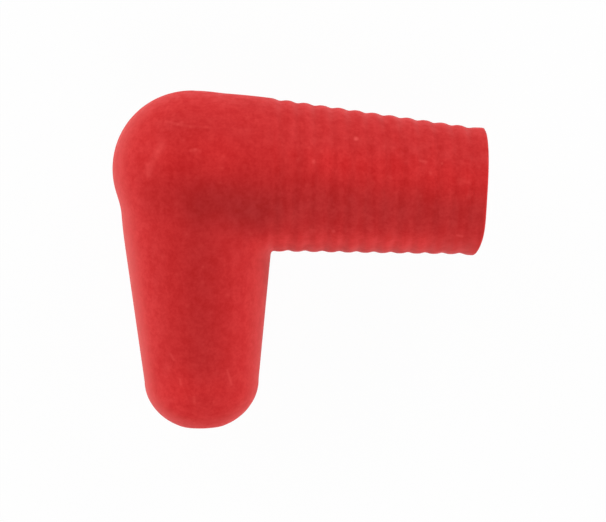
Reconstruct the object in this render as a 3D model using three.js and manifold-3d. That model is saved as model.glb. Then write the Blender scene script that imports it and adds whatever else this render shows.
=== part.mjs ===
// A right-angled spark plug cap, moulded in one piece from red rubber.
//
// A thick ribbed barrel pushes over the plug. It ends in a round knee, and a smooth, tapering leg
// with a domed tip leaves the knee and holds the ignition lead. The cap lies on its side as it
// comes to rest: both arms taper, so each lies on the floor along its lowest line.
//
// Millimetres, +Z up, origin on the floor below the middle of the part's box. The leg points to -Y
// and the barrel to +X. The shapes are first made around the knee, with the barrel's axis along +X
// and both axes in the XY plane, and the whole part is then turned onto its side.

import * as THREE from 'three';
import { mergeVertices } from 'three/addons/utils/BufferGeometryUtils.js';
import Module from 'manifold-3d';

// The elbow
const ELBOW_ANGLE = 84.2; // degrees between the two axes
const LEG_OFFSET = 1.43; // how far the leg's axis passes from the knee's centre, towards the mouth
const KNEE_RADIUS = 12.35;
const KNEE_BACK = 12.0; // reach of the round back behind the knee's centre

// The barrel, measured along its axis from the knee's centre
const BARREL_LENGTH = 47.0;
const BARREL_TAPER = 3.7; // degrees a side, over the ribs
const SMOOTH_LENGTH = 12.4; // the plain stretch before the first groove
const SMOOTH_SWELL = 12.62; // the radius that the plain stretch bows out towards
const SHOULDER_RADIUS = 12.25; // where the ribs begin
const RIB_PITCH = 2.77;
const RIB_DEPTH = 0.26;
const GROOVE_COUNT = 12;
const LAND_RADIUS = 10.2; // the plain band at the mouth
const MOUTH_EDGE = 0.6; // rounding of the mouth's outer edge

// The leg, measured along its axis from the level of the knee's centre
const LEG_LENGTH = 42.1; // to the top of the dome
const LEG_TAPER = 6.6; // degrees a side
const LEG_ROOT_RADIUS = 12.2;
const LEG_ROOT_LENGTH = 12.2; // the rounded start, down to where the even taper begins
const LEG_TIP_RADIUS = 9.15; // where the dome begins
const DOME_HEIGHT = 7.9;

// The hollows inside
const PLUG_BORE = 12.0; // diameter, a push fit on the plug's insulator
const PLUG_SOCKET_DEPTH = 37.0;
const MOUTH_LEAD_IN = 0.8; // rounding of the socket's edge
const LIP_COUNT = 3; // sealing lips around the plug's insulator
const LIP_HEIGHT = 0.5;
const LIP_WIDTH = 1.8;
const LIP_PITCH = 4.5;
const FIRST_LIP = 5.0; // from the mouth to the middle of the first lip
const CHAMBER_BORE = 14.0; // diameter of the knee chamber, which holds the lead's terminal
const CHAMBER_BACK = 7.0; // reach of the chamber behind the knee's centre
const STEP_LENGTH = 1.5; // the sloped step from one bore to the next
const CRIMP_BORE = 10.4; // diameter, around the terminal's crimped end
const LEAD_BORE = 7.0; // diameter, a snug fit on the ignition lead
const LEAD_GRIP_LENGTH = 11.0; // the narrow stretch that grips the lead
const LEAD_EDGE = 0.5; // rounding of the lead's hole
const CUT_BEYOND = 1.0; // how far each hollow is cut on past the outside

// How finely the round shapes are divided
const SIDES = 40;
const BORE_SIDES = 28;
const ARC_STEPS = 8;
const POINTS_PER_RIB = 4;

const elbow = THREE.MathUtils.degToRad(ELBOW_ANGLE);
const barrelTaper = THREE.MathUtils.degToRad(BARREL_TAPER);
const legTaper = THREE.MathUtils.degToRad(LEG_TAPER);
const barrelAxis = new THREE.Vector3(1, 0, 0);
const legAxis = new THREE.Vector3(Math.cos(elbow), -Math.sin(elbow), 0);

// Points of a quarter ellipse around (0, centre), from angle `from` to `to`. The angle is 0 on the
// rim and a right angle at the pole, and `height` is negative for a pole that points backwards.
function ellipseArc(radius, height, centre, from, to, steps) {
  const points = [];
  for (let i = 0; i <= steps; i++) {
    const angle = from + ((to - from) * i) / steps;
    points.push(new THREE.Vector2(radius * Math.cos(angle), centre + height * Math.sin(angle)));
  }
  return points;
}

// The crests of the ribs lie on this cone.
function crestRadius(along) {
  return SHOULDER_RADIUS - (along - SMOOTH_LENGTH) * Math.tan(barrelTaper);
}

// The ribs are one even wave, a crest at each end and a groove in the middle of each pitch.
function ribPoints() {
  const points = [];
  const count = GROOVE_COUNT * POINTS_PER_RIB;
  for (let i = 0; i <= count; i++) {
    const turn = (2 * Math.PI * i) / POINTS_PER_RIB;
    const along = SMOOTH_LENGTH + (i / POINTS_PER_RIB) * RIB_PITCH;
    const depth = (RIB_DEPTH * (1 - Math.cos(turn))) / 2;
    points.push(new THREE.Vector2(crestRadius(along) - depth, along));
  }
  return points;
}

// The barrel's outside: round back, plain stretch, ribs, and the band with its rounded edge.
function barrelProfile() {
  const back = ellipseArc(KNEE_RADIUS, -KNEE_BACK, 0, Math.PI / 2, 0, ARC_STEPS);
  const stretch = new THREE.QuadraticBezierCurve(
    new THREE.Vector2(KNEE_RADIUS, 0),
    new THREE.Vector2(SMOOTH_SWELL, SMOOTH_LENGTH / 2),
    new THREE.Vector2(SHOULDER_RADIUS, SMOOTH_LENGTH)
  ).getPoints(ARC_STEPS / 2);
  const edge = new THREE.EllipseCurve(
    LAND_RADIUS - MOUTH_EDGE, BARREL_LENGTH - MOUTH_EDGE, MOUTH_EDGE, MOUTH_EDGE, 0, Math.PI / 2
  ).getPoints(ARC_STEPS / 2);
  const mouth = new THREE.Vector2(0, BARREL_LENGTH);
  return [...back, ...stretch.slice(1, -1), ...ribPoints(), ...edge, mouth];
}

// The leg's outside: a round top hidden in the knee, a rounded start, the even taper and the dome.
function legProfile() {
  const domeStart = LEG_LENGTH - DOME_HEIGHT;
  const onTaper = (along) =>
    new THREE.Vector2(LEG_TIP_RADIUS + (domeStart - along) * Math.tan(legTaper), along);
  const top = ellipseArc(LEG_ROOT_RADIUS, -LEG_ROOT_RADIUS, 0, Math.PI / 2, 0, ARC_STEPS / 2);
  const start = new THREE.QuadraticBezierCurve(
    new THREE.Vector2(LEG_ROOT_RADIUS, 0),
    onTaper(LEG_ROOT_LENGTH / 2),
    onTaper(LEG_ROOT_LENGTH)
  ).getPoints(ARC_STEPS / 2);
  const dome = ellipseArc(LEG_TIP_RADIUS, DOME_HEIGHT, domeStart, 0, Math.PI / 2, ARC_STEPS);
  return [...top, ...start.slice(1), ...dome];
}

// One sealing lip of the socket: a round-topped ridge that narrows the bore.
function lipPoints(middle) {
  const radius = PLUG_BORE / 2;
  return [
    new THREE.Vector2(radius, middle - LIP_WIDTH / 2),
    new THREE.Vector2(radius - LIP_HEIGHT, middle - LIP_WIDTH / 6),
    new THREE.Vector2(radius - LIP_HEIGHT, middle + LIP_WIDTH / 6),
    new THREE.Vector2(radius, middle + LIP_WIDTH / 2)
  ];
}

// A bore's end, rounded outwards where it meets the face and cut on to `end`, past the outside.
function flare(radius, rounding, face, end) {
  const midway = rounding * (1 - Math.SQRT1_2);
  return [
    new THREE.Vector2(radius, face - rounding),
    new THREE.Vector2(radius + midway, face - midway),
    new THREE.Vector2(radius + rounding, face),
    new THREE.Vector2(radius + rounding, end),
    new THREE.Vector2(0, end)
  ];
}

// The plug socket with its lips, and the wider chamber behind it inside the knee.
function socketProfile() {
  const socketEnd = BARREL_LENGTH - PLUG_SOCKET_DEPTH;
  const chamberRadius = CHAMBER_BORE / 2;
  const back = ellipseArc(chamberRadius, -CHAMBER_BACK, 0, Math.PI / 2, 0, ARC_STEPS / 2);
  const points = [
    ...back,
    new THREE.Vector2(chamberRadius, socketEnd - STEP_LENGTH),
    new THREE.Vector2(PLUG_BORE / 2, socketEnd)
  ];
  for (let i = LIP_COUNT - 1; i >= 0; i--) {
    points.push(...lipPoints(BARREL_LENGTH - FIRST_LIP - i * LIP_PITCH));
  }
  const end = BARREL_LENGTH + CUT_BEYOND;
  return [...points, ...flare(PLUG_BORE / 2, MOUTH_LEAD_IN, BARREL_LENGTH, end)];
}

// The lead's way in: a wide bore from the knee, then a narrow one out through the dome. The hole's
// rounded edge ends level with the dome where it meets it, which is below the dome's top.
function leadProfile() {
  const leadRadius = LEAD_BORE / 2;
  const edgeRadius = leadRadius + LEAD_EDGE;
  const edgeFall = Math.sqrt(1 - (edgeRadius / LEG_TIP_RADIUS) ** 2);
  const face = LEG_LENGTH - DOME_HEIGHT * (1 - edgeFall);
  const gripStart = LEG_LENGTH - LEAD_GRIP_LENGTH;
  return [
    new THREE.Vector2(0, 0),
    new THREE.Vector2(CRIMP_BORE / 2, 0),
    new THREE.Vector2(CRIMP_BORE / 2, gripStart - STEP_LENGTH),
    new THREE.Vector2(leadRadius, gripStart),
    ...flare(leadRadius, LEAD_EDGE, face, LEG_LENGTH + CUT_BEYOND)
  ];
}

// A closed solid of revolution around +Y. Its points run from the axis back to the axis, low end
// first. The triangles share their corners, and the flat ones at a pole are left out.
function turnedSolid({ Manifold, Mesh }, profile, sides) {
  const geometry = new THREE.LatheGeometry(profile, sides);
  geometry.deleteAttribute('normal');
  geometry.deleteAttribute('uv');
  const merged = mergeVertices(geometry);
  const corners = merged.index.array;
  const kept = [];
  for (let i = 0; i < corners.length; i += 3) {
    const [a, b, c] = corners.slice(i, i + 3);
    if (a !== b && b !== c && c !== a) kept.push(a, b, c);
  }
  return new Manifold(new Mesh({
    numProp: 3,
    vertProperties: new Float32Array(merged.attributes.position.array),
    triVerts: new Uint32Array(kept)
  }));
}

function geometryFrom(solid) {
  const mesh = solid.getMesh();
  const geometry = new THREE.BufferGeometry();
  geometry.setAttribute('position', new THREE.BufferAttribute(mesh.vertProperties, 3));
  geometry.setIndex(new THREE.BufferAttribute(mesh.triVerts, 1));
  geometry.computeVertexNormals();
  return geometry;
}

// Carries a turned shape from +Y onto one of the elbow's axes, from `start` on.
function placeOn(axis, start) {
  const across = new THREE.Vector3(axis.y, -axis.x, 0);
  const sideways = new THREE.Vector3(0, 0, 1);
  return new THREE.Matrix4().makeBasis(across, axis, sideways).setPosition(start).elements;
}

// The whole cap: two turned shapes joined, less their two hollows joined.
async function bootGeometry() {
  const wasm = await Module();
  wasm.setup();
  const towardsMouth = new THREE.Vector3(Math.sin(elbow), Math.cos(elbow), 0);
  const onBarrel = placeOn(barrelAxis, new THREE.Vector3());
  const onLeg = placeOn(legAxis, towardsMouth.multiplyScalar(LEG_OFFSET));

  const barrel = turnedSolid(wasm, barrelProfile(), SIDES).transform(onBarrel);
  const leg = turnedSolid(wasm, legProfile(), SIDES).transform(onLeg);
  const socket = turnedSolid(wasm, socketProfile(), BORE_SIDES).transform(onBarrel);
  const leadWay = turnedSolid(wasm, leadProfile(), BORE_SIDES).transform(onLeg);
  return geometryFrom(barrel.add(leg).subtract(socket.add(leadWay)));
}

// The way up at rest, seen from the elbow's own axes: each tapering arm lies along its lowest line,
// so each axis falls towards its end by that arm's taper.
function restingUp() {
  const c = Math.cos(elbow);
  const barrelFall = -Math.sin(barrelTaper);
  const legFall = -Math.sin(legTaper);
  const alongLeg = (legFall - c * barrelFall) / (1 - c * c);
  const alongBarrel = barrelFall - c * alongLeg;
  const up = barrelAxis.clone().multiplyScalar(alongBarrel).addScaledVector(legAxis, alongLeg);
  up.z = Math.sqrt(1 - up.lengthSq());
  return up;
}

// Turns the elbow onto its side, with the leg towards -Y as seen from above.
function restingTurn() {
  const up = restingUp();
  const y = legAxis.clone().addScaledVector(up, -legAxis.dot(up)).normalize().negate();
  const x = new THREE.Vector3().crossVectors(y, up);
  return new THREE.Matrix4().makeBasis(x, y, up).transpose();
}

const redRubber = new THREE.MeshStandardMaterial({ color: 0xca3030, roughness: 0.48, metalness: 0 });

const boot = new THREE.Mesh(await bootGeometry(), redRubber);
boot.name = 'boot';

const group = new THREE.Group();
group.add(boot);
group.quaternion.setFromRotationMatrix(restingTurn());

const box = new THREE.Box3().setFromObject(group, true);
const middle = box.getCenter(new THREE.Vector3());
group.position.set(-middle.x, -middle.y, -box.min.z);

export default group;
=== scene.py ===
"""A red rubber spark plug cap, lying on its side on a pale floor.

The cap is one closed rubber surface, laid over the CAD part, which keeps the sizes. It adds what
the CAD part leaves out: ribs that lean and grow shallow on the faces, a crease that fades out from
the inner corner, the mould's seam, a slightly uneven rim, and the rubber's mottling, pale haze,
specks and marks, with painted light and shade in its colour: a painted sheen on the steep sides,
painted shade in the grooves and under a line on the knee, and broad paler and darker tones that
are painted light and shade.

Everything is in metres. Shapes are worked out in the elbow's own frame, which has its origin at the
knee's centre, the barrel's axis along +X and the leg's axis in the XY plane towards -Y. The whole
cap is then turned onto its side and set on the floor where the CAD part lies.
"""
import math

import bpy
import numpy as np
from bpy.props import FloatProperty, FloatVectorProperty, IntProperty, PointerProperty
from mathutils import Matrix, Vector


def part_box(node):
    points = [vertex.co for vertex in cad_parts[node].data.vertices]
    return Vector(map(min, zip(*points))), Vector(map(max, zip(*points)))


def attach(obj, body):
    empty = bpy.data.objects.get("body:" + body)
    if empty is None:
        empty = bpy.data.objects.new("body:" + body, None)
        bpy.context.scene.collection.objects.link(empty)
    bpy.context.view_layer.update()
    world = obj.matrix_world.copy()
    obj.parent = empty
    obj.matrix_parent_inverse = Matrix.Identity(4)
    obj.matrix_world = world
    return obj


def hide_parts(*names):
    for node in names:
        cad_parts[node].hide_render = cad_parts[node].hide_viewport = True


bl_info = {
    "name": "Rubber Spark Plug Cap",
    "version": (1, 0, 0),
    "blender": (4, 5, 0),
    "location": "3D View > Sidebar > Plug Cap",
    "description": "Models a right-angled rubber spark plug cap over its CAD part",
    "category": "Add Mesh",
}

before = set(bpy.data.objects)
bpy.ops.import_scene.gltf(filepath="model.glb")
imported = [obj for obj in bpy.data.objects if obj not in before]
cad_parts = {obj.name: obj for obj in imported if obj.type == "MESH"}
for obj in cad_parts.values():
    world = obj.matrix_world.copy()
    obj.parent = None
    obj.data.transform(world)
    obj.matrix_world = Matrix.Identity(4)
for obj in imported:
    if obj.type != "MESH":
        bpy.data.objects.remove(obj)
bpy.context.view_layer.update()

MM = 0.001

# Spacing of the points along the profiles
SKIN_STEP = 0.6 * MM
LIP_STEP = 0.3 * MM
CHAMBER_STEP = 0.3 * MM
BORE_STEP = 1.2 * MM
SLOPE_STEP = 0.5 * MM
GRIP_STEP = 0.8 * MM
STEPS_PER_RIB = 14

# Share by which the points of a section crowd towards the mould's seam
SEAM_CROWDING = 0.36

# Fans of the knee: how many sections, the place they turn about, the bulge of their middle line,
# and the reach of their rays. The outer ones also crowd towards the barrel
OUTER_SECTIONS = 120
OUTER_CROWDING = 0.35
OUTER_PIVOT = (15.5 * MM, -13.8 * MM)
OUTER_BULGE = 4.2 * MM
OUTER_REACH = 26 * MM
INNER_SECTIONS = 30
INNER_PIVOT = (8.0 * MM, -7.9 * MM)
INNER_BULGE = 2.7 * MM
INNER_REACH = 16 * MM
RAY_STEPS = 60
RAY_HALVINGS = 26

# Grooves: the power of their wave, and where they end off the barrel's skin
GROOVE_POWER = 1.4
GROOVE_REACH = 1.2 * MM
GROOVE_FADE = 1.0 * MM

# Painted sheen on the steep sides: how level a normal lies where it starts, over how much it grows,
# its strength on the mouth's side and in front, and its loss up the knee
STEEP_START = 0.68
STEEP_RANGE = 0.32
MOUTH_SIDE_SHEEN = 0.45
FRONT_SHEEN = 0.2
KNEE_SHEEN_LOSS = 0.45
KNEE_SHEEN_REACH = 12 * MM

# Half the width of the floor, in metres
FLOOR_HALF = 3.0


# Settings

def length(name, description, millimetres):
    """A length property with its default in millimetres."""
    return FloatProperty(
        name=name, description=description, default=millimetres * MM, min=0.0, unit="LENGTH",
        precision=5)


def turn(name, description, degrees):
    """An angle property with its default in degrees."""
    return FloatProperty(
        name=name, description=description, default=math.radians(degrees), subtype="ANGLE")


def colour(name, description, value):
    """A colour property with its default as a linear colour."""
    return FloatVectorProperty(
        name=name, description=description, default=value, size=3, min=0.0, max=1.0,
        subtype="COLOR")


class BootSizes(bpy.types.PropertyGroup):
    """Sizes of the rubber boot."""
    elbow: turn("Elbow", "Angle between the barrel's axis and the leg's", 84.2)
    leg_offset: length("Leg offset", "How far the leg's axis passes the knee's centre", 1.43)
    knee_radius: length("Knee radius", "Radius of the round knee", 12.25)
    knee_back: length("Knee back", "Reach of the knee behind its centre", 11.95)

    barrel_length: length("Barrel length", "From the knee's centre to the mouth", 47.0)
    barrel_taper: turn("Barrel taper", "Taper of the ribbed stretch, each side", 3.55)
    smooth_length: length("Plain stretch", "From the knee's centre to the first rib", 12.4)
    smooth_swell: length("Plain swell", "Radius that the plain stretch bows towards", 12.58)
    shoulder_radius: length("Shoulder radius", "Radius where the ribs begin", 12.28)
    rib_pitch: length("Rib pitch", "Distance from one groove to the next", 2.77)
    rib_depth: length("Rib depth", "Depth of the grooves between the ribs", 0.225)
    rib_fade: FloatProperty(
        name="Rib fade", description="Share of the grooves' depth that is lost on the two faces",
        default=0.62, min=0.0, max=1.0)
    rib_lean: turn("Rib lean", "How far the ribs lean towards the mouth on the inner side", 1.1)
    groove_count: IntProperty(
        name="Grooves", description="How many grooves run round the barrel", default=12, min=1)
    land_radius: length("Land radius", "Radius of the plain band at the mouth", 10.28)
    mouth_edge: length("Mouth edge", "Rounding of the mouth's outer edge", 0.35)

    leg_length: length("Leg length", "From the knee's level to the top of the dome", 42.22)
    leg_taper: turn("Leg taper", "Taper of the leg, each side", 6.6)
    leg_root_radius: length("Leg root radius", "Radius of the leg inside the knee", 12.2)
    leg_root_length: length("Leg root length", "Length over which the leg rounds over", 12.2)
    leg_tip_radius: length("Leg tip radius", "Radius where the dome begins", 9.15)
    dome_height: length("Dome height", "Height of the domed tip", 7.9)

    plug_bore: length("Plug bore", "Diameter of the plug socket", 12.0)
    socket_depth: length("Socket depth", "From the mouth to the knee chamber", 37.0)
    lead_in: length("Lead-in", "Rounding of the socket's edge", 0.8)
    lip_count: IntProperty(
        name="Lips", description="How many sealing lips the socket has", default=3, min=0)
    lip_height: length("Lip height", "How far a lip stands into the socket", 0.5)
    lip_width: length("Lip width", "Width of a lip at its foot", 1.8)
    lip_pitch: length("Lip pitch", "Distance from one lip to the next", 4.5)
    first_lip: length("First lip", "From the mouth to the first lip", 5.0)
    chamber_bore: length("Chamber bore", "Diameter of the knee chamber", 14.0)
    chamber_back: length("Chamber back", "Reach of the chamber behind the knee's centre", 7.0)
    step_length: length("Step length", "Length of the sloped steps between bores", 1.5)
    crimp_bore: length("Crimp bore", "Diameter of the wide part of the lead's bore", 10.4)
    lead_bore: length("Lead bore", "Diameter of the hole that grips the lead", 7.0)
    grip_length: length("Grip length", "Length of the narrow stretch of the lead's bore", 11.0)
    lead_edge: length("Lead edge", "Rounding of the lead's hole", 0.25)

    rim_swell: length("Rim swell", "How far one side of the mouth's rim stands out", 0.35)
    rim_swell_place: turn("Rim swell place", "Where it stands out, from the inner corner round", 52)
    rim_swell_spread: turn("Rim swell spread", "Half width of the swell round the rim", 28)
    rim_swell_reach: length("Rim swell reach", "How far back from the rim the swell fades", 4.0)
    crease: length("Crease", "Softness of the crease between the barrel and the leg", 0.8)
    crease_growth: length("Crease growth", "How much softer the crease is on the faces", 9.0)
    seam_height: length("Seam height", "How far the mould's seam stands proud", 0.07)
    seam_width: length("Seam width", "Half width of the mould's seam", 0.16)
    around: IntProperty(
        name="Around", description="Points around each section", default=192, min=16)


class RubberLooks(bpy.types.PropertyGroup):
    """Colours and finish of the red rubber."""
    red: colour("Red", "The rubber's main colour", (0.665, 0.033, 0.033))
    deep_red: colour("Deep red", "Darker mottling", (0.545, 0.011, 0.012))
    # Colour of the pale haze, which differs at random over the rubber
    bloom_and_painted_sheen: colour("Bloom", "Pale haze that rubber gathers", (0.69, 0.055, 0.052))
    # Colour of the painted sheen on the steep sides
    painted_sheen: colour("Dust", "Pale dust on the steep sides", (0.70, 0.155, 0.145))
    scratch: colour("Scratch", "Specks and fine scratches", (0.95, 0.13, 0.12))
    # Strength of the painted sheen on the steep sides
    painted_side_sheen: FloatProperty(
        name="Side bloom", description="Strength of the pale bloom on the steep sides",
        default=0.5, min=0.0, max=1.0)
    # Strength of the painted shade in the ribs' grooves
    painted_groove_shade: FloatProperty(
        name="Groove shade", description="How much darker the rubber is in the ribs' grooves",
        default=0.03, min=0.0, max=1.0)
    # Strength of the painted light and shade in broad paler and darker areas
    painted_shading_strength: FloatProperty(
        name="Unevenness", description="Strength of the broad paler and darker areas",
        default=1.0, min=0.0, max=1.0)
    roughness: FloatProperty(
        name="Roughness", description="Roughness of the moulded surface", default=0.58,
        min=0.0, max=1.0)
    shine: FloatProperty(
        name="Shine", description="Strength of the rubber's sheen, 0.5 being full", default=0.10,
        min=0.0, max=1.0)


class StageLooks(bpy.types.PropertyGroup):
    """Floor, camera and lamps."""
    floor: colour("Floor", "The floor's colour", (0.9, 0.9, 0.9))
    whiteness: FloatProperty(
        name="Whiteness", description="Share of the floor that the camera sees as plain white",
        default=0.97, min=0.0, max=1.0)
    fill: FloatProperty(
        name="Fill", description="Strength of the even light from all round", default=0.0,
        min=0.0)
    camera_height: length("Camera height", "Height of the camera above the floor", 373.2)
    camera_x: length("Camera right", "Camera's place towards the mouth", 0.25)
    camera_y: length("Camera forward", "Camera's place towards the leg's tip", 0.46)
    camera_roll: turn("Camera roll", "How far the picture is turned", 1.03)
    focal_length: FloatProperty(
        name="Focal length", description="Lens on a sensor 36 mm wide, in millimetres",
        default=133.7, min=1.0)


# Shape of the boot

def in_plane(x, y):
    """A place or a direction in the elbow's plane, as a 3-vector."""
    return np.array([x, y, 0.0])


def smooth(share):
    """0 below 0, 1 above 1, and a smooth rise from one to the other."""
    t = np.clip(share, 0, 1)
    return t * t * (3 - 2 * t)


class Arm:
    """An axis of the elbow: its start, its direction, and the way across towards the other arm."""

    def __init__(self, start, along, across):
        self.start = start
        self.along = along
        self.across = across
        self.sideways = np.array([0.0, 0.0, 1.0])

    def measure(self, points):
        """How far along the axis each point lies, how far from it, and which way from it."""
        offset = points - self.start
        along = offset @ self.along
        spoke = offset - along[..., None] * self.along
        away = np.linalg.norm(spoke, axis=-1)
        return along, away, spoke / np.maximum(away, 1e-9)[..., None]


def elbow_arms(size):
    """The barrel's axis, and the leg's, which passes the knee's centre on the mouth's side."""
    cos, sin = math.cos(size.elbow), math.sin(size.elbow)
    barrel = Arm(in_plane(0, 0), in_plane(1, 0), in_plane(0, -1))
    leg = Arm(size.leg_offset * in_plane(sin, cos), in_plane(cos, -sin), in_plane(sin, cos))
    return barrel, leg


def bow(along, reach, first, middle, last):
    """A parabola from `first` at 0 to `last` at `reach`, which bows towards `middle`."""
    t = np.clip(along / reach, 0, 1)
    return (1 - t) ** 2 * first + 2 * t * (1 - t) * middle + t ** 2 * last


def barrel_radius(size, along):
    """The barrel's outer radius over the crests: a bowed plain stretch, then a cone, and the plain
    band at the mouth, eased in over half a rib."""
    start, pitch = size.smooth_length, size.rib_pitch
    plain = bow(along, start, size.knee_radius, size.smooth_swell, size.shoulder_radius)
    cone = size.shoulder_radius - (along - start) * math.tan(size.barrel_taper)
    land_start = start + size.groove_count * pitch
    ease = smooth((along - land_start + pitch / 4) / (pitch / 2))
    ribbed = cone * (1 - ease) + size.land_radius * ease
    return np.where(along < start, plain, ribbed)


def leg_radius(size, along):
    """The leg's outer radius above the dome: a parabola that runs into the even taper."""
    dome_start = size.leg_length - size.dome_height

    def taper(place):
        return size.leg_tip_radius + (dome_start - place) * math.tan(size.leg_taper)

    reach = size.leg_root_length
    start = bow(along, reach, size.leg_root_radius, taper(reach / 2), taper(reach))
    return np.where(along < reach, start, taper(along))


def outer_field(size, points):
    """Below 0 inside the boot and above 0 outside it. The barrel with its round back and the leg
    with its round top are each a distance from their skin, and the two join softly. The softness
    is 1 less the cosine of the angle between the two skins, times `crease` plus `crease_growth`
    by the square of the distance from the seam's plane, so the crease is sharp at the inner corner
    and widens until it fades out on the two faces."""
    barrel, leg = elbow_arms(size)
    along, away, barrel_way = barrel.measure(points)
    ball = np.hypot(away, along * size.knee_radius / size.knee_back) - size.knee_radius
    barrel_gap = np.where(along < 0, ball, away - barrel_radius(size, along))
    down, out, leg_way = leg.measure(points)
    top = np.hypot(out, down) - size.leg_root_radius
    leg_gap = np.where(down < 0, top, out - leg_radius(size, down))
    crease = size.crease + size.crease_growth * (points[..., 2] / size.knee_radius) ** 2
    blend = crease * (1 - (barrel_way * leg_way).sum(-1))
    return soft_join(barrel_gap, leg_gap, blend)


def soft_join(first, second, blend):
    """The smaller of two distances, rounded off by a parabola where they are nearly equal."""
    blend = np.maximum(blend, 1e-9)
    near = np.clip(blend - np.abs(first - second), 0, None) / blend
    return np.minimum(first, second) - near ** 2 * blend / 4


def hollow_field(size, points):
    """Below 0 inside the knee's hollow: the chamber with its round back joined to the wide part of
    the lead's bore."""
    barrel, leg = elbow_arms(size)
    along, away, _ = barrel.measure(points)
    radius = size.chamber_bore / 2
    back = np.hypot(away, along * radius / size.chamber_back)
    chamber = np.where(along < 0, back, away) - radius
    down, out, _ = leg.measure(points)
    bore = np.where(down < 0, np.hypot(out, down), out) - size.crimp_bore / 2
    return soft_join(chamber, bore, size.lead_in)


def section_angles(count):
    """Angles round a section, closer together at the mould's seam, which lies at 0 and pi: an even
    step less a share of a sine of twice the angle."""
    even = np.arange(count) * 2 * np.pi / count
    return even - SEAM_CROWDING * np.sin(2 * even)


def turned(arm, profile, angles):
    """A surface of revolution. `profile` holds (along, radius) rows, and a point is the axis at
    `along`, plus `radius` times the way across turned by the angle."""
    along, radius = profile[:, 0, None, None], profile[:, 1, None, None]
    spoke = np.cos(angles)[:, None] * arm.across + np.sin(angles)[:, None] * arm.sideways
    return arm.start + along * arm.along + radius * spoke


def fanned(arms, field, pivot, shares, bulge, angles, reach):
    """The knee between the two arms, as sections that fan about `pivot`, a point just outside the
    inner corner. Each section's plane holds the pivot and the Z direction. Its middle lies between
    the two axes, pushed out by `bulge` half way round. A point lies where a ray from that middle,
    at the section's angle, first leaves the shape: the ray is sampled evenly, and the crossing is
    then halved down to."""
    barrel, leg = arms
    first = math.atan2(-leg.across[1], -leg.across[0]) % (2 * math.pi)
    last = math.atan2(-barrel.across[1], -barrel.across[0])
    heading = first + (last - first) * shares
    outward = np.stack([np.cos(heading), np.sin(heading), np.zeros_like(heading)], axis=-1)
    leg_gap = (pivot - leg.start) @ leg.across
    barrel_gap = (pivot - barrel.start) @ barrel.across
    gap = leg_gap + (barrel_gap - leg_gap) * shares + bulge * np.sin(np.pi * shares) ** 2
    middle = (pivot + gap[:, None] * outward)[:, None]
    ray = (-np.cos(angles)[None, :, None] * outward[:, None]
           + np.sin(angles)[None, :, None] * leg.sideways)

    steps = np.linspace(0, reach, RAY_STEPS)
    values = np.stack([field(middle + step * ray) for step in steps])
    crossing = np.argmax(values > 0, axis=0)
    low, high = steps[crossing - 1], steps[crossing]
    for _ in range(RAY_HALVINGS):
        half = (low + high) / 2
        outside = field(middle + half[..., None] * ray) > 0
        low, high = np.where(outside, low, half), np.where(outside, half, high)
    return middle + low[..., None] * ray


def arc(centre, radius, first, last, count):
    """(along, radius) rows on an ellipse quarter, from angle `first` to `last`. Angle 0 points
    away from the axis and a right angle points along it."""
    angle = np.radians(np.linspace(first, last, count))
    return np.stack([centre[0] + radius[0] * np.sin(angle),
                     centre[1] + radius[1] * np.cos(angle)], axis=-1)


def rows(along, radius):
    """Profile rows from places along the axis and radii."""
    along = np.asarray(along, float)
    return np.stack([along, np.broadcast_to(radius, along.shape)], axis=-1)


def between(first, last, spacing):
    """Even places from `first` to just short of `last`, no further apart than `spacing`."""
    count = max(1, math.ceil(abs(last - first) / spacing))
    return np.linspace(first, last, count, endpoint=False)


def tip_profile(size, stop):
    """The outside of the leg from the lip of the lead's hole over the dome and up to `stop`."""
    radius = size.lead_bore / 2
    edge = size.lead_edge
    dome_start = size.leg_length - size.dome_height
    dome_angle = math.degrees(math.acos((radius + edge) / size.leg_tip_radius))
    face = dome_start + size.dome_height * math.sin(math.radians(dome_angle))
    lip = arc((face - edge, radius + edge), (edge, -edge), 0, 90, 8)[:-1]
    dome = arc((dome_start, 0), (size.dome_height, size.leg_tip_radius), dome_angle, 0, 30)[:-1]
    taper = between(dome_start, stop, SKIN_STEP)
    return np.concatenate([lip, dome, rows(taper, leg_radius(size, taper))])


def barrel_profile(size, start):
    """The outside of the barrel from `start` over the ribs, round the mouth's edge and across its
    rim."""
    edge, lead_in = size.mouth_edge, size.lead_in
    mouth = size.barrel_length
    ribbed = between(start, mouth - edge, size.rib_pitch / STEPS_PER_RIB)
    outer = arc((mouth - edge, size.land_radius - edge), (edge, edge), 0, 90, 9)
    inner_radius = size.plug_bore / 2 + lead_in
    rim = rows(np.full(4, mouth), np.linspace(size.land_radius - edge, inner_radius, 6)[1:-1])
    return np.concatenate([rows(ribbed, barrel_radius(size, ribbed)), outer, rim])


def lip_rise(size, along):
    """How far the sealing lips stand into the socket: one raised cosine for each lip."""
    rise = np.zeros_like(along)
    for i in range(size.lip_count):
        middle = size.barrel_length - size.first_lip - i * size.lip_pitch
        share = np.clip(np.abs(along - middle) / (size.lip_width / 2), 0, 1)
        rise += size.lip_height * (1 + np.cos(np.pi * share)) / 2
    return rise


def socket_profile(size, stop):
    """The inside of the barrel from the mouth's rounded edge over the lips to the knee chamber."""
    radius, lead_in, mouth = size.plug_bore / 2, size.lead_in, size.barrel_length
    edge = arc((mouth - lead_in, radius + lead_in), (lead_in, -lead_in), 90, 0, 9)
    lips_end = mouth - size.first_lip - size.lip_count * size.lip_pitch
    ribbed = between(mouth - lead_in, lips_end, LIP_STEP)[1:]
    step_start = mouth - size.socket_depth
    step_end = step_start - size.step_length
    plain = between(lips_end, step_start, BORE_STEP)
    step = between(step_start, step_end, SLOPE_STEP)
    wide = size.chamber_bore / 2
    slope = radius + (wide - radius) * ((step_start - step) / size.step_length)
    chamber = between(step_end, stop, CHAMBER_STEP)
    return np.concatenate([
        edge, rows(ribbed, radius - lip_rise(size, ribbed)), rows(plain, radius),
        rows(step, slope), rows(chamber, wide)])


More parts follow.
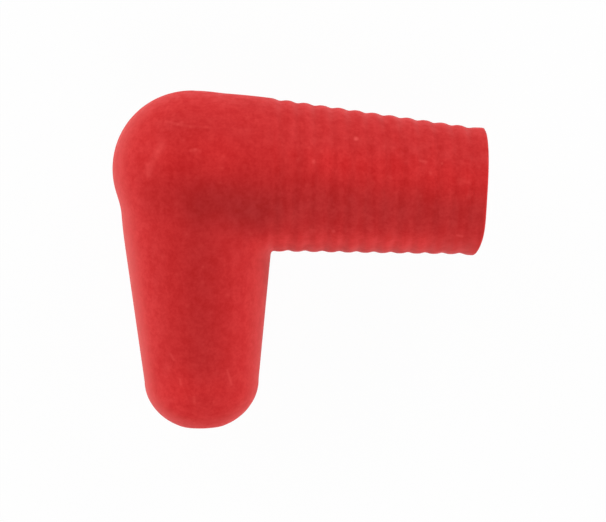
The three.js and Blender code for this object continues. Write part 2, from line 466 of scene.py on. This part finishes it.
def lead_profile(size, start):
    """The lead's bore from the knee chamber down to the lip of its hole."""
    wide, narrow = size.crimp_bore / 2, size.lead_bore / 2
    grip_start = size.leg_length - size.grip_length
    step_start = grip_start - size.step_length
    dome_start = size.leg_length - size.dome_height
    fall = math.sqrt(1 - ((narrow + size.lead_edge) / size.leg_tip_radius) ** 2)
    stop = dome_start + size.dome_height * fall - size.lead_edge
    upper = between(start, step_start, BORE_STEP)
    step = between(step_start, grip_start, SLOPE_STEP)
    slope = wide + (narrow - wide) * (step - step_start) / size.step_length
    grip = between(grip_start, stop, GRIP_STEP)
    return np.concatenate([rows(upper, wide), rows(step, slope), rows(grip, narrow)])


def boot_grid(size):
    """The whole skin as one grid, closed both ways. Its rows run from the lip of the lead's hole
    over the outside to the mouth, and back through the inside. Also gives how many rows lie
    outside."""
    arms = barrel, leg = elbow_arms(size)
    angles = section_angles(size.around)

    outer_pivot, inner_pivot = in_plane(*OUTER_PIVOT), in_plane(*INNER_PIVOT)
    even = np.linspace(0, 1, OUTER_SECTIONS)
    outer_shares = even * (1 + OUTER_CROWDING * (1 - even))
    outer_knee = fanned(
        arms, lambda points: outer_field(size, points), outer_pivot, outer_shares, OUTER_BULGE,
        angles, OUTER_REACH)
    inner_knee = fanned(
        arms, lambda points: hollow_field(size, points), inner_pivot,
        np.linspace(1, 0, INNER_SECTIONS), INNER_BULGE, angles, INNER_REACH)

    outer_leg = (outer_pivot - leg.start) @ leg.along
    inner_leg = (inner_pivot - leg.start) @ leg.along
    outside = [
        turned(leg, tip_profile(size, outer_leg), angles),
        outer_knee,
        turned(barrel, barrel_profile(size, outer_pivot[0])[1:], angles),
    ]
    inside = [
        turned(barrel, socket_profile(size, inner_pivot[0]), angles),
        inner_knee,
        turned(leg, lead_profile(size, inner_leg)[1:], angles),
    ]
    grid = np.concatenate(outside + inside)
    return grid, sum(len(part) for part in outside)


def swell_rim(size, grid):
    """Pushes one side of the mouth's rim outwards along the barrel, as a mould leaves it slightly
    uneven: a bell curve of the angle round the axis, times a smooth rise along it."""
    barrel, _ = elbow_arms(size)
    offset = grid - barrel.start
    rise = smooth((offset @ barrel.along - size.barrel_length) / size.rim_swell_reach + 1)
    angle = np.arctan2(offset @ barrel.sideways, offset @ barrel.across)
    bell = np.exp(-((angle - size.rim_swell_place) / size.rim_swell_spread) ** 2)
    return grid + (size.rim_swell * bell * rise)[..., None] * barrel.along


def rib_wave(size, along):
    """0 on a crest and 1 in a groove: a cosine wave, raised to a power so that the grooves are
    narrower than the crests. It is 0 outside the ribbed stretch."""
    turns = (along - size.smooth_length) / size.rib_pitch
    wave = ((1 - np.cos(2 * np.pi * turns)) / 2) ** GROOVE_POWER
    return np.where((turns > 0) & (turns < size.groove_count), wave, 0)


def groove_share(size, grid, outside):
    """0 on the crests and off the ribs, and 1 in the middle of a groove. The place on the wave is
    the place along the barrel less a share of the distance across it, so the ribs lean. It fades
    out just off the barrel's skin."""
    barrel, _ = elbow_arms(size)
    along, away, _ = barrel.measure(grid)
    inward = (grid - barrel.start) @ barrel.across + size.shoulder_radius
    wave = rib_wave(size, along - math.tan(size.rib_lean) * inward)
    share = wave * np.clip((size.shoulder_radius + GROOVE_REACH - away) / GROOVE_FADE, 0, 1)
    share[outside:] = 0
    return share


def cut_ribs(size, grid, groove):
    """Presses the grooves into the barrel, straight towards its axis. The depth falls with the
    square of the sine of the angle from the seam, so they are shallower on the two faces."""
    barrel, _ = elbow_arms(size)
    _, _, way = barrel.measure(grid)
    depth = size.rib_depth * groove * (1 - size.rib_fade * way[..., 2] ** 2)
    return grid - depth[..., None] * way


def grid_normals(grid):
    """Unit normals of a closed grid: the cross product of its two neighbour-to-neighbour steps."""
    across = np.roll(grid, -1, 1) - np.roll(grid, 1, 1)
    down = np.roll(grid, -1, 0) - np.roll(grid, 1, 0)
    normal = np.cross(down, across)
    return normal / np.linalg.norm(normal, axis=-1, keepdims=True)


def raise_seam(size, grid, outside):
    """Lifts the outside along the mould's seam, the plane of both axes, as a smooth bell curve of
    the distance from that plane."""
    normal = grid_normals(grid)
    lift = size.seam_height * np.exp(-(grid[..., 2] / size.seam_width) ** 2)
    lift[outside:] = 0
    return grid + lift[..., None] * normal


def painted_side_sheen(grid, outside):
    """How much painted sheen each point of the laid-down cap carries: a pale colour that stands in
    for sheen on the steep sides. It grows smoothly where the skin turns steeper than about 43
    degrees. It is strongest on the leg's side away from the mouth, weaker on the knee, on the
    mouth's side and in front, and there is none behind."""
    normal = grid_normals(grid)
    steep = smooth((np.hypot(normal[..., 0], normal[..., 1]) - STEEP_START) / STEEP_RANGE)
    away = np.clip(-normal[..., 0], 0, 1)
    away *= 1 - KNEE_SHEEN_LOSS * smooth(grid[..., 1] / KNEE_SHEEN_REACH)
    mouth_side = np.clip(normal[..., 0], 0, 1)
    front = np.clip(-normal[..., 1], 0, 1)
    bloom_and_painted_sheen = steep * (away + MOUTH_SIDE_SHEEN * mouth_side + FRONT_SHEEN * front)
    bloom_and_painted_sheen[outside:] = 0
    return bloom_and_painted_sheen


def resting_turn(size):
    """The turn that lays the cap on its side. Each tapering arm lies along its lowest line, so
    each axis falls towards its end by that arm's taper. The leg then points to -Y from above."""
    barrel, leg = elbow_arms(size)
    cos = math.cos(size.elbow)
    barrel_fall, leg_fall = -math.sin(size.barrel_taper), -math.sin(size.leg_taper)
    along_leg = (leg_fall - cos * barrel_fall) / (1 - cos ** 2)
    along_barrel = barrel_fall - cos * along_leg
    up = along_barrel * barrel.along + along_leg * leg.along
    up[2] = math.sqrt(1 - up @ up)
    back = -(leg.along - (leg.along @ up) * up)
    back /= np.linalg.norm(back)
    return np.stack([np.cross(back, up), back, up])


def lay_down(size, grid):
    """Turns the grid onto its side, and moves it so that its box is centred over the CAD part's
    and stands level with it."""
    turned_grid = grid @ resting_turn(size).T
    flat = turned_grid.reshape(-1, 3)
    low, high = (np.array(corner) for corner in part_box("boot"))
    middle = (flat.min(0) + flat.max(0)) / 2
    move = (low + high) / 2 - middle
    move[2] = low[2] - flat[:, 2].min()
    return turned_grid + move


def grid_object(name, grid):
    """A mesh object from a grid that is closed both ways, with shared vertices. Each face goes to
    the next row, along it and back, which makes it point outwards."""
    rows_count, columns = grid.shape[:2]
    index = np.arange(rows_count * columns).reshape(rows_count, columns)
    right, below = np.roll(index, -1, 1), np.roll(index, -1, 0)
    corner = np.roll(below, -1, 1)
    quads = np.stack((index, below, corner, right), axis=-1).reshape(-1, 4)
    mesh = bpy.data.meshes.new(name)
    mesh.vertices.add(index.size)
    mesh.vertices.foreach_set("co", grid.astype(np.float32).ravel())
    mesh.loops.add(quads.size)
    mesh.loops.foreach_set("vertex_index", quads.astype(np.int32).ravel())
    mesh.polygons.add(len(quads))
    mesh.polygons.foreach_set("loop_start", np.arange(0, quads.size, 4, dtype=np.int32))
    mesh.polygons.foreach_set("use_smooth", np.ones(len(quads), dtype=bool))
    mesh.update(calc_edges=True)
    mesh.validate()
    piece = bpy.data.objects.new(name, mesh)
    bpy.context.scene.collection.objects.link(piece)
    return piece


# Nodes

class Signal:
    """A number, colour or place that varies over a surface. Arithmetic on it adds Math nodes."""

    def __init__(self, sheet, socket):
        self.sheet = sheet
        self.socket = socket

    def math(self, operation, first, second):
        """A Math node on two numbers."""
        return self.sheet.node("ShaderNodeMath", {"operation": operation}, {0: first, 1: second})

    def __add__(self, other):
        return self.math("ADD", self, other)

    __radd__ = __add__

    def __sub__(self, other):
        return self.math("SUBTRACT", self, other)

    def __rsub__(self, other):
        return self.math("SUBTRACT", other, self)

    def __mul__(self, other):
        return self.math("MULTIPLY", self, other)

    __rmul__ = __mul__

    def __gt__(self, other):
        return self.math("GREATER_THAN", self, other)

    def between(self, low, high):
        """0 below `low`, 1 above `high`, and a smooth rise from one to the other."""
        return self.sheet.node(
            "ShaderNodeMapRange", {"interpolation_type": "SMOOTHSTEP"},
            {"Value": self, "From Min": low, "From Max": high})


class Sheet:
    """The nodes of one material or world."""

    def __init__(self, owner):
        owner.use_nodes = True
        self.tree = owner.node_tree
        self.tree.nodes.clear()

    def node(self, kind, settings=None, inputs=None, output=0):
        """Adds a node, sets it up, feeds its inputs with values or signals, and gives an output."""
        node = self.tree.nodes.new(kind)
        for name, value in (settings or {}).items():
            setattr(node, name, value)
        for name, value in (inputs or {}).items():
            if isinstance(value, Signal):
                self.tree.links.new(value.socket, node.inputs[name])
            else:
                node.inputs[name].default_value = value
        return Signal(self, node.outputs[output]) if node.outputs else None

    def blend(self, mask, first, second):
        """A colour between two, by a mask."""
        return self.node(
            "ShaderNodeMix", {"data_type": "RGBA"}, {0: mask, 6: first, 7: second}, output=2)

    def scaled(self, first, share):
        """A colour or a place, multiplied by a number."""
        return self.node("ShaderNodeVectorMath", {"operation": "SCALE"}, {0: first, "Scale": share})

    def vector(self, operation, first, second, output):
        """A Vector Math node on two places."""
        return self.node(
            "ShaderNodeVectorMath", {"operation": operation}, {0: first, 1: second}, output)

    def noise(self, where, scale, detail=2.0, roughness=0.5):
        """A noise pattern from 0 to 1, with `scale` waves a metre."""
        return self.node("ShaderNodeTexNoise", None, {
            "Vector": where, "Scale": scale, "Detail": detail, "Roughness": roughness})

    def split(self, where):
        """The three parts of a place."""
        parts = self.node("ShaderNodeSeparateXYZ", None, {0: where})
        return [Signal(self, socket) for socket in parts.socket.node.outputs]

    def stroke(self, where, start, end, width):
        """1 along a straight stroke between two places in millimetres, fading to 0 at `width` from
        it. The nearest place on the stroke is found with a dot product."""
        start, end = Vector(start) * MM, Vector(end) * MM
        reach = end - start
        offset = self.vector("SUBTRACT", where, start, "Vector")
        share = self.vector("DOT_PRODUCT", offset, reach / reach.length_squared, "Value")
        share = self.node("ShaderNodeClamp", None, {"Value": share})
        away = self.vector("DISTANCE", offset, self.scaled(reach, share), "Value")
        return 1 - away.between(0.0, width * MM)

    def spots(self, where, scale, rarity, core, edge):
        """1 in the middle of some cells of a Voronoi pattern, fading to 0 outwards. `rarity` is
        the share of cells left out."""
        inputs = {"Vector": where, "Scale": scale}
        away = self.node("ShaderNodeTexVoronoi", None, inputs, output="Distance")
        lot = self.node("ShaderNodeTexVoronoi", None, inputs, output="Color")
        chosen = self.node("ShaderNodeSeparateColor", None, {0: lot}) > rarity
        return (1 - away.between(core, edge)) * chosen

    def streaks(self, where, angles, stretch, *spots):
        """Spots drawn out into short strokes: the place is turned by `angles`, and multiplied by
        `stretch`, which is below 1 along the strokes."""
        along = self.node("ShaderNodeMapping", None, {"Vector": where, "Rotation": angles})
        drawn = self.node("ShaderNodeMapping", None, {"Vector": along, "Scale": stretch})
        return self.spots(drawn, *spots)


# Looks of the rubber

# Noise patterns: waves a metre, detail, roughness, and the values between which they rise from 0
# to 1
PATTERNS = {
    "broad": (130.0, 3.0, 0.5, 0.35, 0.68),
    "fine": (620.0, 3.0, 0.65, 0.35, 0.65),
    "grit": (2100.0, 3.0, 0.7, 0.35, 0.65),
    "haze": (240.0, 4.0, 0.65, 0.5, 0.85),
}

# Streaks round the barrel: the size of their waves along X, Y and Z, the values between which
# their pattern rises, and the places along X between which they grow stronger
STREAK_WAVE = (1.1 * MM, 12 * MM, 12 * MM)
STREAK_PATTERN = (0.35, 0.7)
STREAK_RISE = (-14 * MM, 0.0)

# Shares of the darker mottling, and of the pale haze
BROAD_SHARE = 0.1
FINE_SHARE = 0.36
GRIT_SHARE = 0.28
EVEN_SHARE = 0.13
STREAK_SHARE = 0.08
STREAK_SHARE_GAIN = 0.2
HAZE_SHARE = 0.2

# The painted sheen's strength, in three parts: everywhere, with the haze, and with the fine pattern
PAINTED_SHEEN_PARTS = (0.65, 0.4, 0.3)

# Spots: cells a metre, share of cells left out, and the shares of a cell where a spot begins to
# fade and ends
SPECKS = (520.0, 0.5, 0.02, 0.34)
FLECKS = (330.0, 0.88, 0.02, 0.14)
SCUFFS = (800.0, 0.3, 0.01, 0.14)
SPECK_SHARE = 0.08
FLECK_SHARE = 0.12

# Scuffs: their turn in radians, how they are drawn out, the places along Y between which they
# grow faint, and their shares on the barrel and towards the leg's tip
SCUFF_TURN = (0.0, 0.0, -0.25)
SCUFF_STRETCH = (1.0, 0.35, 1.0)
SCUFF_FALL = (-20 * MM, -8 * MM)
SCUFF_SHARE = 0.02
SCUFF_SHARE_GAIN = 0.08

# The skin's relief: its full depth, its strength, the scales of its ripple and its grain, and
# the grain's share
RELIEF_DEPTH = 0.12 * MM
RELIEF_STRENGTH = 0.25
RIPPLE_SCALE = 420.0
GRAIN_SCALE = 5200.0
GRAIN_SHARE = 0.25
ROUGHNESS_SWING = 0.10

# Marks on the rubber: start and end in millimetres, half width in millimetres, and strength
MARKS = (
    ((-20.7, 21.6, 23.1), (-18.8, 21.1, 23.8), 0.45, 0.14),
    ((-18.8, 21.1, 23.8), (-16.8, 20.7, 24.1), 0.45, 0.10),
    ((-16.8, 20.7, 24.1), (-13.9, 20.5, 24.0), 0.45, 0.08),
    ((-13.9, 20.5, 24.0), (-6.2, 20.1, 23.0), 0.45, 0.03),
    ((-16.8, 16.9, 25.2), (-16.1, 17.1, 25.2), 0.40, 0.16),
    ((-16.1, 17.1, 25.2), (-15.3, 16.8, 25.2), 0.40, 0.11),
    ((-21.4, 17.8, 24.6), (-23.4, 13.9, 24.0), 1.20, 0.15),
    ((-12.0, -17.5, 17.8), (-11.4, -19.8, 16.9), 0.40, 0.14),
    ((-20.9, -14.8, 18.5), (-20.4, -15.6, 18.5), 0.45, 0.13),
    ((-19.5, -18.8, 18.1), (-19.4, -19.6, 18.0), 0.35, 0.12),
    ((-18.8, -20.7, 17.9), (-18.6, -21.8, 17.7), 0.40, 0.06),
    ((-17.3, -21.7, 17.9), (-17.3, -22.5, 17.7), 0.40, 0.11),
    ((18.9, 14.9, 20.9), (19.7, 14.7, 20.9), 0.45, 0.20),
    ((13.7, 12.5, 22.2), (14.4, 12.2, 22.2), 0.40, 0.07),
    ((25.0, 11.7, 20.8), (26.4, 11.4, 20.6), 0.80, 0.10),
    ((24.7, 3.1, 17.8), (25.4, 3.0, 17.5), 0.45, 0.20),
    ((8.9, 18.6, 20.9), (8.9, 18.5, 21.0), 0.55, 0.50),
    ((2.2, 15.0, 23.5), (2.2, 14.9, 23.5), 0.50, 0.26),
    ((5.2, 8.3, 22.5), (5.2, 8.2, 22.5), 0.40, 0.08),
    ((5.1, 4.1, 19.8), (5.1, 4.0, 19.7), 0.50, 0.22),
    ((22.3, 14.5, 20.5), (22.3, 14.4, 20.6), 0.35, 0.22),
    ((20.4, 13.0, 21.3), (20.4, 12.9, 21.3), 0.50, 0.14),
    ((18.8, 9.4, 21.5), (18.8, 9.3, 21.5), 0.40, 0.11),
)

# A painted shade line under the first marks, in the same form
PAINTED_SHADE_LINE = ((-20.3, 21.2, 23.3), (-14.2, 20.1, 24.1), 0.45, 0.5)

# Painted light and shade in broad areas: start and end in millimetres, half width in millimetres,
# and how much paler, as painted light (above 0), or darker, as painted shade (below 0), the rubber
# is there
PAINTED_LIGHT_AND_SHADE = (
    ((-21.5, 16.3, 24.8), (-13.0, 15.6, 25.2), 6.0, 0.10),
    ((-13.0, 16.1, 25.1), (4.8, 14.6, 23.2), 5.0, 0.04),
    ((4.8, 14.6, 23.2), (28.0, 11.2, 20.5), 5.0, 0.11),
    ((-14.7, 8.3, 24.5), (-6.5, 7.2, 23.0), 6.0, -0.16),
    ((-22.8, 9.3, 23.6), (-16.0, 8.6, 24.5), 5.0, -0.05),
    ((-1.5, 8.1, 23.0), (21.9, 5.8, 20.0), 5.0, -0.035),
    ((-18.5, -20.9, 17.9), (-16.3, -21.5, 18.0), 6.5, 0.16),
    ((-2.6, 2.7, 18.2), (18.9, 1.8, 16.3), 4.0, 0.15),
    ((-7.6, 24.1, 19.2), (27.2, 19.0, 15.6), 5.0, -0.05),
    ((-6.1, 1.9, 18.6), (-6.3, -6.6, 14.0), 4.0, 0.08),
)


def opaque(value):
    """A linear colour with full alpha."""
    return (*value, 1.0)


def rubber_material(looks):
    """Moulded red rubber: mottling, a pale haze, streaks round the barrel, a painted sheen on the
    steep sides, specks, short scuffs, single marks, a painted shade line, painted shade in the
    grooves, painted light and shade in broad paler and darker areas, and a satin skin with a fine
    grain."""
    material = bpy.data.materials.new("red_rubber")
    sheet = Sheet(material)
    place = sheet.node("ShaderNodeTexCoord", output="Object")

    along, across, _ = sheet.split(place)
    broad, fine, grit, haze = (
        sheet.noise(place, scale, detail, roughness).between(low, high)
        for scale, detail, roughness, low, high in PATTERNS.values())
    wiped = sheet.node("ShaderNodeMapping", {"vector_type": "TEXTURE"}, {
        "Vector": place, "Scale": STREAK_WAVE})
    wiped = sheet.noise(wiped, 1.0).between(*STREAK_PATTERN)
    barrel = along.between(*STREAK_RISE)
    mottle = broad * BROAD_SHARE + fine * FINE_SHARE + grit * GRIT_SHARE + EVEN_SHARE
    mottle = mottle + (wiped - 0.5) * (barrel * STREAK_SHARE_GAIN + STREAK_SHARE)
    base = sheet.blend(mottle, opaque(looks.red), opaque(looks.deep_red))
    base = sheet.blend(haze * HAZE_SHARE, base, opaque(looks.bloom_and_painted_sheen))
    even, hazy, finer = PAINTED_SHEEN_PARTS
    # Painted sheen on the steep sides, read from the mesh's attribute
    sides = sheet.node("ShaderNodeAttribute", {"attribute_name": "bloom_and_painted_sheen"}, output="Fac")
    sides = sides * (haze * hazy + fine * finer + even) * looks.painted_side_sheen
    base = sheet.blend(sides, base, opaque(looks.painted_sheen))

    specks = sheet.spots(place, *SPECKS)
    flecks = sheet.spots(place, *FLECKS)
    scuffs = sheet.streaks(place, SCUFF_TURN, SCUFF_STRETCH, *SCUFFS)
    low = 1 - across.between(*SCUFF_FALL)
    marks = specks * SPECK_SHARE + flecks * FLECK_SHARE
    marks = marks + scuffs * (low * SCUFF_SHARE_GAIN + SCUFF_SHARE)
    for start, end, width, strength in MARKS:
        marks = sheet.stroke(place, start, end, width) * strength + marks
    base = sheet.blend(marks, base, opaque(looks.scratch))
    # Painted shade under the pale line on the knee
    start, end, width, strength = PAINTED_SHADE_LINE
    shade = sheet.stroke(place, start, end, width) * strength
    base = sheet.blend(shade, base, opaque(looks.deep_red))
    # Painted shade in the ribs' grooves, as a factor on the colour
    groove = sheet.node("ShaderNodeAttribute", {"attribute_name": "groove"}, output="Fac")
    painted_shading = 1 - groove * looks.painted_groove_shade
    # Painted light and shade in broad paler and darker areas
    for start, end, width, share in PAINTED_LIGHT_AND_SHADE:
        painted_shading = sheet.stroke(place, start, end, width) * (share * looks.painted_shading_strength) + painted_shading
    base = sheet.scaled(base, painted_shading)

    grain = sheet.noise(place, GRAIN_SCALE, 3.0, 0.6)
    ripple = sheet.noise(place, RIPPLE_SCALE)
    bump = sheet.node("ShaderNodeBump", None, {
        "Strength": RELIEF_STRENGTH, "Distance": RELIEF_DEPTH,
        "Height": grain * GRAIN_SHARE + ripple})
    roughness = looks.roughness + ROUGHNESS_SWING * (fine - 0.5) + ROUGHNESS_SWING * haze
    shader = sheet.node("ShaderNodeBsdfPrincipled", None, {
        "Base Color": base, "Roughness": roughness, "Normal": bump, "IOR": 1.5,
        "Specular IOR Level": looks.shine})
    sheet.node("ShaderNodeOutputMaterial", None, {"Surface": shader})
    return material


def seen_directly(sheet):
    """1 for what the camera sees, also by way of a reflection or through glass, and 0 for the
    light that falls on the object."""
    camera, glossy, through = (
        sheet.node("ShaderNodeLightPath", output=name)
        for name in ("Is Camera Ray", "Is Glossy Ray", "Is Transmission Ray"))
    return camera.math("MAXIMUM", camera, glossy.math("MAXIMUM", glossy, through))


def floor_material(looks):
    """A plain pale floor. To the camera most of it is a plain white glow, which leaves a faint
    shadow round the cap."""
    material = bpy.data.materials.new("pale_floor")
    sheet = Sheet(material)
    matt = sheet.node("ShaderNodeBsdfDiffuse", None, {"Color": opaque(looks.floor)})
    white = sheet.node("ShaderNodeEmission", None, {"Color": (1.0, 1.0, 1.0, 1.0), "Strength": 1.0})
    shader = sheet.node("ShaderNodeMixShader", None, {
        0: seen_directly(sheet) * looks.whiteness, 1: matt, 2: white})
    sheet.node("ShaderNodeOutputMaterial", None, {"Surface": shader})
    return material


def studio_world(looks):
    """An even light of strength `fill` from all round, and plain white behind everything."""
    world = bpy.data.worlds.new("studio")
    sheet = Sheet(world)
    fill = sheet.node("ShaderNodeBackground", None, {"Color": (1, 1, 1, 1), "Strength": looks.fill})
    white = sheet.node("ShaderNodeBackground", None, {"Color": (1, 1, 1, 1), "Strength": 1.0})
    shader = sheet.node("ShaderNodeMixShader", None, {0: seen_directly(sheet), 1: fill, 2: white})
    sheet.node("ShaderNodeOutputWorld", None, {"Surface": shader})
    return world


# Operators, stage and panel

class PLUGCAP_OT_boot(bpy.types.Operator):
    """Makes the rubber boot: the ribbed barrel, the round knee and the tapering leg"""
    bl_idname = "plug_cap.boot"
    bl_label = "Rubber Boot"

    def execute(self, context):
        size = context.scene.plug_cap_boot
        grid, outside = boot_grid(size)
        groove = groove_share(size, grid, outside)
        grid = raise_seam(size, cut_ribs(size, grid, groove), outside)
        grid = swell_rim(size, grid)
        grid = lay_down(size, grid)
        boot = grid_object("rubber_boot", grid)
        # The painted sheen and the grooves' shares go onto the mesh as attributes
        for name, values in (("bloom_and_painted_sheen", painted_side_sheen(grid, outside)), ("groove", groove)):
            layer = boot.data.attributes.new(name, "FLOAT", "POINT")
            layer.data.foreach_set("value", values.astype(np.float32).ravel())
        boot.data.materials.append(rubber_material(context.scene.plug_cap_rubber))
        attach(boot, "root")
        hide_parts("boot")
        return {"FINISHED"}


# Lamps: azimuth and elevation in degrees, width and height in metres, and power in watts
LAMPS = {
    "lamp_back_right": (60, 24, 0.36, 0.24, 1.65),
    "lamp_back_left": (120, 24, 0.36, 0.24, 1.2),
    "lamp_left_back": (150, 24, 0.36, 0.24, 1.0),
    "lamp_left_low": (180, 5, 0.36, 0.10, 0.55),
    "lamp_left_front": (210, 5, 0.36, 0.10, 1.0),
    "lamp_front_low": (270, 5, 0.36, 0.10, 0.4),
    "lamp_front_high": (270, 48, 0.36, 0.30, 1.4),
    "lamp_right_front": (330, 24, 0.36, 0.24, 0.92),
    "lamp_right_low": (0, 5, 0.36, 0.10, 1.15),
}

# Distance of the lamps from the middle of the floor, in metres
LAMP_DISTANCE = 0.6


def soft_lamp(name, azimuth, elevation, width, height, power):
    """A soft lamp that faces the cap, and that the camera doesn't see. `azimuth` is in degrees from
    the mouth's side round towards the back of the knee."""
    lamp = bpy.data.lights.new(name, "AREA")
    lamp.shape = "RECTANGLE"
    lamp.size = width
    lamp.size_y = height
    lamp.energy = power
    holder = bpy.data.objects.new(name, lamp)
    azimuth, elevation = math.radians(azimuth), math.radians(elevation)
    across = math.cos(elevation)
    way = Vector((across * math.cos(azimuth), across * math.sin(azimuth), math.sin(elevation)))
    holder.location = LAMP_DISTANCE * way
    holder.rotation_mode = "QUATERNION"
    holder.rotation_quaternion = (-way).to_track_quat("-Z", "Y")
    holder.visible_camera = False
    bpy.context.scene.collection.objects.link(holder)


class PLUGCAP_OT_stage(bpy.types.Operator):
    """Makes the floor, the camera and the lamps"""
    bl_idname = "plug_cap.stage"
    bl_label = "Floor, Camera and Lamps"

    def execute(self, context):
        scene = context.scene
        looks = scene.plug_cap_stage
        mesh = bpy.data.meshes.new("floor")
        signs = ((-1, -1), (1, -1), (1, 1), (-1, 1))
        corners = [(x * FLOOR_HALF, y * FLOOR_HALF, 0) for x, y in signs]
        mesh.from_pydata(corners, [], [(0, 1, 2, 3)])
        mesh.materials.append(floor_material(looks))
        floor = bpy.data.objects.new("floor", mesh)
        scene.collection.objects.link(floor)

        camera = bpy.data.cameras.new("camera")
        camera.sensor_width = 36.0
        camera.lens = looks.focal_length
        camera.clip_start = 0.01
        viewer = bpy.data.objects.new("camera", camera)
        viewer.location = (looks.camera_x, -looks.camera_y, looks.camera_height)
        viewer.rotation_euler = (0.0, 0.0, -looks.camera_roll)
        scene.collection.objects.link(viewer)
        scene.camera = viewer

        scene.world = studio_world(looks)
        for name, lamp in LAMPS.items():
            soft_lamp(name, *lamp)
        scene.view_settings.view_transform = "Standard"
        return {"FINISHED"}


class PLUGCAP_PT_sidebar(bpy.types.Panel):
    """Lists the cap's operators and sizes"""
    bl_idname = "PLUGCAP_PT_sidebar"
    bl_label = "Spark Plug Cap"
    bl_space_type = "VIEW_3D"
    bl_region_type = "UI"
    bl_category = "Plug Cap"

    def draw(self, context):
        for operator in (PLUGCAP_OT_boot, PLUGCAP_OT_stage):
            self.layout.operator(operator.bl_idname)
        for name in GROUPS:
            group = getattr(context.scene, name)
            for prop in group.__annotations__:
                self.layout.prop(group, prop)


GROUPS = {
    "plug_cap_boot": BootSizes,
    "plug_cap_rubber": RubberLooks,
    "plug_cap_stage": StageLooks,
}
CLASSES = (*GROUPS.values(), PLUGCAP_OT_boot, PLUGCAP_OT_stage, PLUGCAP_PT_sidebar)


def register():
    for cls in CLASSES:
        bpy.utils.register_class(cls)
    for name, group in GROUPS.items():
        setattr(bpy.types.Scene, name, PointerProperty(type=group))


def unregister():
    for name in GROUPS:
        delattr(bpy.types.Scene, name)
    for cls in reversed(CLASSES):
        bpy.utils.unregister_class(cls)


def main():
    """Makes the cap and its stage."""
    register()
    bpy.ops.plug_cap.boot()
    bpy.ops.plug_cap.stage()


if __name__ == "__main__":
    main()
